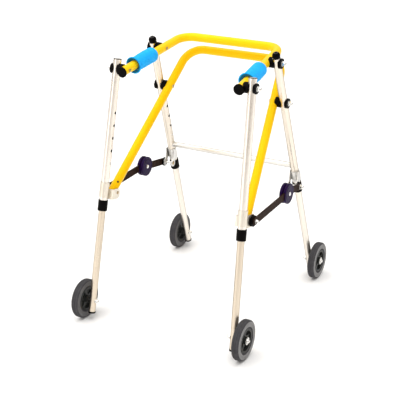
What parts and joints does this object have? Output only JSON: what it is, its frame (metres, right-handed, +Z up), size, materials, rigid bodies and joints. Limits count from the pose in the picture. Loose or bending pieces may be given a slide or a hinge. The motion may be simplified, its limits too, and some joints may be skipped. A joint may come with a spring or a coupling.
{
  "type": "posterior walker",
  "caption": "Folding posterior walker: bent handle bar with soft grips, lower bar behind the user, telescopic legs on wheels, and a folding brace with a hub on each side.",
  "frame": {"origin": "on the floor, in the middle plane, midway between the front and rear axles", "axes": "+Z up, +Y to the rear where the two crossbars are, +X to the user's right"},
  "size_m": [0.5972, 0.725, 0.8419],
  "materials": {
    "yellow_paint": "gloss powder coat",
    "blue_foam": "soft closed-cell foam",
    "bare_aluminium": "polished and anodised",
    "bracket_metal": "satin",
    "bright_steel": "bright zinc",
    "grey_tyre": "matt grey rubber",
    "rim_plastic": "moulded",
    "link_metal": "dark satin paint",
    "hub_plastic": "moulded, slight gloss",
    "black_plastic": "moulded"
  },
  "bodies": {
    "rear_frame": {"rear_tube_left": "bare_aluminium", "rear_tube_right": "bare_aluminium", "rear_caps": "black_plastic", "rear_cross_tube": "bare_aluminium", "rear_brackets": "bracket_metal", "rear_collars": "black_plastic", "rear_washers": "black_plastic", "rear_fasteners": "bright_steel"},
    "handle_bar": {"handle_tube": "yellow_paint", "handle_end_caps": "black_plastic", "grip_left": "blue_foam", "grip_right": "blue_foam", "handle_washers": "black_plastic"},
    "lower_bar": {"lower_bar_tube": "yellow_paint", "lower_bar_plugs": "black_plastic", "lower_bar_washers": "black_plastic"},
    "front_leg_left": {"front_tube_left": "bare_aluminium", "front_plug_left": "black_plastic", "front_bracket_left": "bracket_metal", "front_collar_left": "black_plastic", "front_washers_left": "black_plastic", "front_fasteners_left": "bright_steel"},
    "brace_front_left": {"brace_front_link_left": "link_metal", "brace_hub_outer_left": "hub_plastic"},
    "brace_rear_left": {"brace_rear_link_left": "link_metal", "brace_hub_inner_left": "hub_plastic"},
    "lower_leg_body_front_left": {"lower_leg_front_left": "bare_aluminium", "foot_plug_front_left": "black_plastic", "axle_front_left": "bright_steel"},
    "button_body_front_left": {"button_front_left": "bright_steel"},
    "wheel_front_left": {"tyre_front_left": "grey_tyre", "rim_front_left": "rim_plastic"},
    "lower_leg_body_rear_left": {"lower_leg_rear_left": "bare_aluminium", "foot_plug_rear_left": "black_plastic", "axle_rear_left": "bright_steel"},
    "button_body_rear_left": {"button_rear_left": "bright_steel"},
    "wheel_rear_left": {"tyre_rear_left": "grey_tyre", "rim_rear_left": "rim_plastic"},
    "front_leg_right": {"front_tube_right": "bare_aluminium", "front_plug_right": "black_plastic", "front_bracket_right": "bracket_metal", "front_collar_right": "black_plastic", "front_washers_right": "black_plastic", "front_fasteners_right": "bright_steel"},
    "brace_front_right": {"brace_front_link_right": "link_metal", "brace_hub_outer_right": "hub_plastic"},
    "brace_rear_right": {"brace_rear_link_right": "link_metal", "brace_hub_inner_right": "hub_plastic"},
    "lower_leg_body_front_right": {"lower_leg_front_right": "bare_aluminium", "foot_plug_front_right": "black_plastic", "axle_front_right": "bright_steel"},
    "button_body_front_right": {"button_front_right": "bright_steel"},
    "wheel_front_right": {"tyre_front_right": "grey_tyre", "rim_front_right": "rim_plastic"},
    "lower_leg_body_rear_right": {"lower_leg_rear_right": "bare_aluminium", "foot_plug_rear_right": "black_plastic", "axle_rear_right": "bright_steel"},
    "button_body_rear_right": {"button_rear_right": "bright_steel"},
    "wheel_rear_right": {"tyre_rear_right": "grey_tyre", "rim_rear_right": "rim_plastic"}
  },
  "joints": [
    {"name": "handle_fold", "type": "hinge", "parent": "rear_frame", "child": "handle_bar", "pos_m": [0, 0.04201, 0.805], "axis": [1, 0, 0], "range_deg": [0, 48]},
    {"name": "lower_bar_fold", "type": "hinge", "parent": "rear_frame", "child": "lower_bar", "pos_m": [0, 0.08857, 0.671], "axis": [1, 0, 0], "range_deg": [0, 40.18]},
    {"name": "front_leg_fold_left", "type": "hinge", "parent": "handle_bar", "child": "front_leg_left", "pos_m": [-0.22354, -0.15669, 0.781], "axis": [1, 0, 0], "range_deg": [-23.74, 0]},
    {"name": "brace_front_fold_left", "type": "hinge", "parent": "front_leg_left", "child": "brace_front_left", "pos_m": [-0.25928, -0.19608, 0.398], "axis": [1, 0, 0], "range_deg": [0, 42.74]},
    {"name": "brace_rear_fold_left", "type": "hinge", "parent": "rear_frame", "child": "brace_rear_left", "pos_m": [-0.24928, 0.15803, 0.379], "axis": [1, 0, 0], "range_deg": [-72.04, 0]},
    {"name": "leg_height_front_left", "type": "slide", "parent": "front_leg_left", "child": "lower_leg_body_front_left", "axis": [0.032, 0.1955, 0.9802], "range_m": [0, 0.156]},
    {"name": "button_press_front_left", "type": "slide", "parent": "lower_leg_body_front_left", "child": "button_body_front_left", "axis": [-0.9995, 0, 0.0326], "range_m": [0, 0.004], "stiffness_N_per_m": 500, "springref_m": -0.003},
    {"name": "wheel_turn_front_left", "type": "hinge", "parent": "lower_leg_body_front_left", "child": "wheel_front_left", "pos_m": [-0.278, -0.3, 0.0625], "axis": [1, 0, 0], "continuous": true},
    {"name": "leg_height_rear_left", "type": "slide", "parent": "rear_frame", "child": "lower_leg_body_rear_left", "axis": [0.0349, -0.328, 0.944], "range_m": [0, 0.156]},
    {"name": "button_press_rear_left", "type": "slide", "parent": "lower_leg_body_rear_left", "child": "button_body_rear_left", "axis": [-0.9993, 0, 0.037], "range_m": [0, 0.004], "stiffness_N_per_m": 500, "springref_m": -0.003},
    {"name": "wheel_turn_rear_left", "type": "hinge", "parent": "lower_leg_body_rear_left", "child": "wheel_rear_left", "pos_m": [-0.267, 0.3, 0.0625], "axis": [1, 0, 0], "continuous": true},
    {"name": "front_leg_fold_right", "type": "hinge", "parent": "handle_bar", "child": "front_leg_right", "pos_m": [0.22354, -0.15669, 0.781], "axis": [1, 0, 0], "range_deg": [-23.74, 0]},
    {"name": "brace_front_fold_right", "type": "hinge", "parent": "front_leg_right", "child": "brace_front_right", "pos_m": [0.25928, -0.19608, 0.398], "axis": [1, 0, 0], "range_deg": [0, 42.74]},
    {"name": "brace_rear_fold_right", "type": "hinge", "parent": "rear_frame", "child": "brace_rear_right", "pos_m": [0.24928, 0.15803, 0.379], "axis": [1, 0, 0], "range_deg": [-72.04, 0]},
    {"name": "leg_height_front_right", "type": "slide", "parent": "front_leg_right", "child": "lower_leg_body_front_right", "axis": [-0.032, 0.1955, 0.9802], "range_m": [0, 0.156]},
    {"name": "button_press_front_right", "type": "slide", "parent": "lower_leg_body_front_right", "child": "button_body_front_right", "axis": [0.9995, 0, 0.0326], "range_m": [0, 0.004], "stiffness_N_per_m": 500, "springref_m": -0.003},
    {"name": "wheel_turn_front_right", "type": "hinge", "parent": "lower_leg_body_front_right", "child": "wheel_front_right", "pos_m": [0.278, -0.3, 0.0625], "axis": [1, 0, 0], "continuous": true},
    {"name": "leg_height_rear_right", "type": "slide", "parent": "rear_frame", "child": "lower_leg_body_rear_right", "axis": [-0.0349, -0.328, 0.944], "range_m": [0, 0.156]},
    {"name": "button_press_rear_right", "type": "slide", "parent": "lower_leg_body_rear_right", "child": "button_body_rear_right", "axis": [0.9993, 0, 0.037], "range_m": [0, 0.004], "stiffness_N_per_m": 500, "springref_m": -0.003},
    {"name": "wheel_turn_rear_right", "type": "hinge", "parent": "lower_leg_body_rear_right", "child": "wheel_rear_right", "pos_m": [0.267, 0.3, 0.0625], "axis": [1, 0, 0], "continuous": true}
  ],
  "couplings": [
    {"joint": "lower_bar_fold", "follows": "handle_fold", "ratio": 0.835},
    {"joint": "front_leg_fold_left", "follows": "handle_fold", "ratio": -0.4925},
    {"joint": "brace_front_fold_left", "follows": "handle_fold", "ratio": 0.8883},
    {"joint": "brace_rear_fold_left", "follows": "handle_fold", "ratio": -1.4988},
    {"joint": "front_leg_fold_right", "follows": "handle_fold", "ratio": -0.4925},
    {"joint": "brace_front_fold_right", "follows": "handle_fold", "ratio": 0.8883},
    {"joint": "brace_rear_fold_right", "follows": "handle_fold", "ratio": -1.4988}
  ]
}
